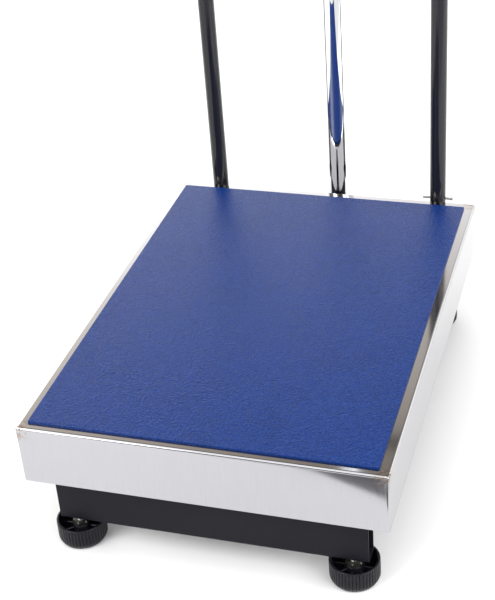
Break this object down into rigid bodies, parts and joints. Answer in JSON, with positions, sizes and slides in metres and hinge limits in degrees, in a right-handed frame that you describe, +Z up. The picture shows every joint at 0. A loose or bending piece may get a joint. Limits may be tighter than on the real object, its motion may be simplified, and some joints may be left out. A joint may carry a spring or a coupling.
{
  "type": "veterinary platform scale",
  "caption": "Free-standing animal weighing scale: low folded steel platter with a rubber mat, levelling feet, rear guard rail and a column carrying a tilting indicator head.",
  "frame": {"origin": "on the floor, under the middle of the whole scale's bounding box", "axes": "+Z up, +Y from the platform towards the column, +X to the right seen from the front"},
  "size_m": [0.43, 0.7548, 1.0146],
  "materials": {
    "polished_stainless": "mirror polished rim and satin skirts of folded stainless sheet",
    "blue_mat": "blue embossed rubber",
    "frame_paint": "satin black powder coat",
    "rail_paint": "gloss black",
    "column_chrome": "bright chrome plate",
    "zinc": "zinc plated",
    "cell_aluminium": "machined",
    "black_rubber": "black rubber",
    "foot_plastic": "black moulded nylon",
    "head_plastic": "dark grey textured ABS",
    "window": "smoked clear acrylic",
    "display": "black display module",
    "board": "green circuit board",
    "key_rubber": "light grey moulded silicone",
    "battery_case": "grey battery case",
    "knob_plastic": "black phenolic",
    "brass": "turned"
  },
  "bodies": {
    "base": {"front_beam": "frame_paint", "rear_beam": "frame_paint", "left_side_rail": "frame_paint", "right_side_rail": "frame_paint", "cell_channel": "frame_paint", "top_cell_channel": "frame_paint", "top_left_rail": "frame_paint", "top_right_rail": "frame_paint", "top_front_rail": "frame_paint", "top_rear_rail": "frame_paint", "column_bracket": "frame_paint", "column_socket": "frame_paint", "left_rail_bracket": "frame_paint", "right_rail_bracket": "frame_paint", "indicator_yoke": "frame_paint", "guard_rail": "rail_paint", "column": "column_chrome", "platter_buttons": "black_rubber", "load_cell": "cell_aluminium", "cell_spacers": "zinc", "cell_bolts": "zinc", "stop_screws": "zinc", "stop_nuts": "zinc", "foot_weld_nuts": "zinc", "column_clamp_screws": "zinc", "bracket_bolts": "zinc", "bracket_nuts": "zinc", "rail_locking_pin": "zinc"},
    "platter": {"platter_cover": "polished_stainless", "anti_slip_mat": "blue_mat"},
    "front_left_pad": {"front_left_foot_pad": "black_rubber"},
    "front_left_foot": {"front_left_foot_cup": "foot_plastic", "front_left_foot_stud": "zinc"},
    "front_right_pad": {"front_right_foot_pad": "black_rubber"},
    "front_right_foot": {"front_right_foot_cup": "foot_plastic", "front_right_foot_stud": "zinc"},
    "rear_left_pad": {"rear_left_foot_pad": "black_rubber"},
    "rear_left_foot": {"rear_left_foot_cup": "foot_plastic", "rear_left_foot_stud": "zinc"},
    "rear_right_pad": {"rear_right_foot_pad": "black_rubber"},
    "rear_right_foot": {"rear_right_foot_cup": "foot_plastic", "rear_right_foot_stud": "zinc"},
    "indicator": {"front_housing": "head_plastic", "rear_housing": "head_plastic", "display_window": "window", "display_module": "display", "circuit_board": "board", "battery": "battery_case", "pivot_inserts": "brass"},
    "key_1": {"key_1": "key_rubber"},
    "key_2": {"key_2": "key_rubber"},
    "key_3": {"key_3": "key_rubber"},
    "key_4": {"key_4": "key_rubber"},
    "key_5": {"key_5": "key_rubber"},
    "power_button": {"power_button": "key_rubber"},
    "left_tilt_knob": {"left_tilt_knob": "knob_plastic"},
    "right_tilt_knob": {"right_tilt_knob": "knob_plastic"}
  },
  "joints": [
    {"name": "platter_lift", "type": "slide", "parent": "base", "child": "platter", "axis": [0, 0, 1], "range_m": [0, 0.09]},
    {"name": "front_left_foot_height", "type": "slide", "parent": "base", "child": "front_left_pad", "axis": [0, 0, -1], "range_m": [-0.0042, 0.012]},
    {"name": "front_left_foot_turn", "type": "hinge", "parent": "front_left_pad", "child": "front_left_foot", "pos_m": [-0.167, -0.34639, 0], "axis": [0, 0, -1], "range_deg": [-865, 2470]},
    {"name": "front_right_foot_height", "type": "slide", "parent": "base", "child": "front_right_pad", "axis": [0, 0, -1], "range_m": [-0.0042, 0.012]},
    {"name": "front_right_foot_turn", "type": "hinge", "parent": "front_right_pad", "child": "front_right_foot", "pos_m": [0.167, -0.34639, 0], "axis": [0, 0, -1], "range_deg": [-865, 2470]},
    {"name": "rear_left_foot_height", "type": "slide", "parent": "base", "child": "rear_left_pad", "axis": [0, 0, -1], "range_m": [-0.0042, 0.012]},
    {"name": "rear_left_foot_turn", "type": "hinge", "parent": "rear_left_pad", "child": "rear_left_foot", "pos_m": [-0.167, 0.19161, 0], "axis": [0, 0, -1], "range_deg": [-865, 2470]},
    {"name": "rear_right_foot_height", "type": "slide", "parent": "base", "child": "rear_right_pad", "axis": [0, 0, -1], "range_m": [-0.0042, 0.012]},
    {"name": "rear_right_foot_turn", "type": "hinge", "parent": "rear_right_pad", "child": "rear_right_foot", "pos_m": [0.167, 0.19161, 0], "axis": [0, 0, -1], "range_deg": [-865, 2470]},
    {"name": "indicator_tilt", "type": "hinge", "parent": "base", "child": "indicator", "pos_m": [0, 0.31261, 0.9135], "axis": [-1, 0, 0], "range_deg": [-20, 25]},
    {"name": "key_1_press", "type": "slide", "parent": "indicator", "child": "key_1", "axis": [0, 0.9397, -0.342], "range_m": [0, 0.0012], "stiffness_N_per_m": 600, "springref_m": -0.001},
    {"name": "key_2_press", "type": "slide", "parent": "indicator", "child": "key_2", "axis": [0, 0.9397, -0.342], "range_m": [0, 0.0012], "stiffness_N_per_m": 600, "springref_m": -0.001},
    {"name": "key_3_press", "type": "slide", "parent": "indicator", "child": "key_3", "axis": [0, 0.9397, -0.342], "range_m": [0, 0.0012], "stiffness_N_per_m": 600, "springref_m": -0.001},
    {"name": "key_4_press", "type": "slide", "parent": "indicator", "child": "key_4", "axis": [0, 0.9397, -0.342], "range_m": [0, 0.0012], "stiffness_N_per_m": 600, "springref_m": -0.001},
    {"name": "key_5_press", "type": "slide", "parent": "indicator", "child": "key_5", "axis": [0, 0.9397, -0.342], "range_m": [0, 0.0012], "stiffness_N_per_m": 600, "springref_m": -0.001},
    {"name": "power_button_press", "type": "slide", "parent": "indicator", "child": "power_button", "axis": [0, -0.9397, 0.342], "range_m": [0, 0.002], "stiffness_N_per_m": 600, "springref_m": -0.001},
    {"name": "left_knob_turn", "type": "hinge", "parent": "indicator", "child": "left_tilt_knob", "pos_m": [-0.115, 0.31261, 0.9135], "axis": [-1, 0, 0], "range_deg": [0, 180]},
    {"name": "right_knob_turn", "type": "hinge", "parent": "indicator", "child": "right_tilt_knob", "pos_m": [0.115, 0.31261, 0.9135], "axis": [1, 0, 0], "range_deg": [0, 180]}
  ],
  "couplings": [
    {"joint": "front_left_foot_turn", "follows": "front_left_foot_height", "rad_per_m": 3590.4},
    {"joint": "front_right_foot_turn", "follows": "front_right_foot_height", "rad_per_m": 3590.4},
    {"joint": "rear_left_foot_turn", "follows": "rear_left_foot_height", "rad_per_m": 3590.4},
    {"joint": "rear_right_foot_turn", "follows": "rear_right_foot_height", "rad_per_m": 3590.4}
  ]
}
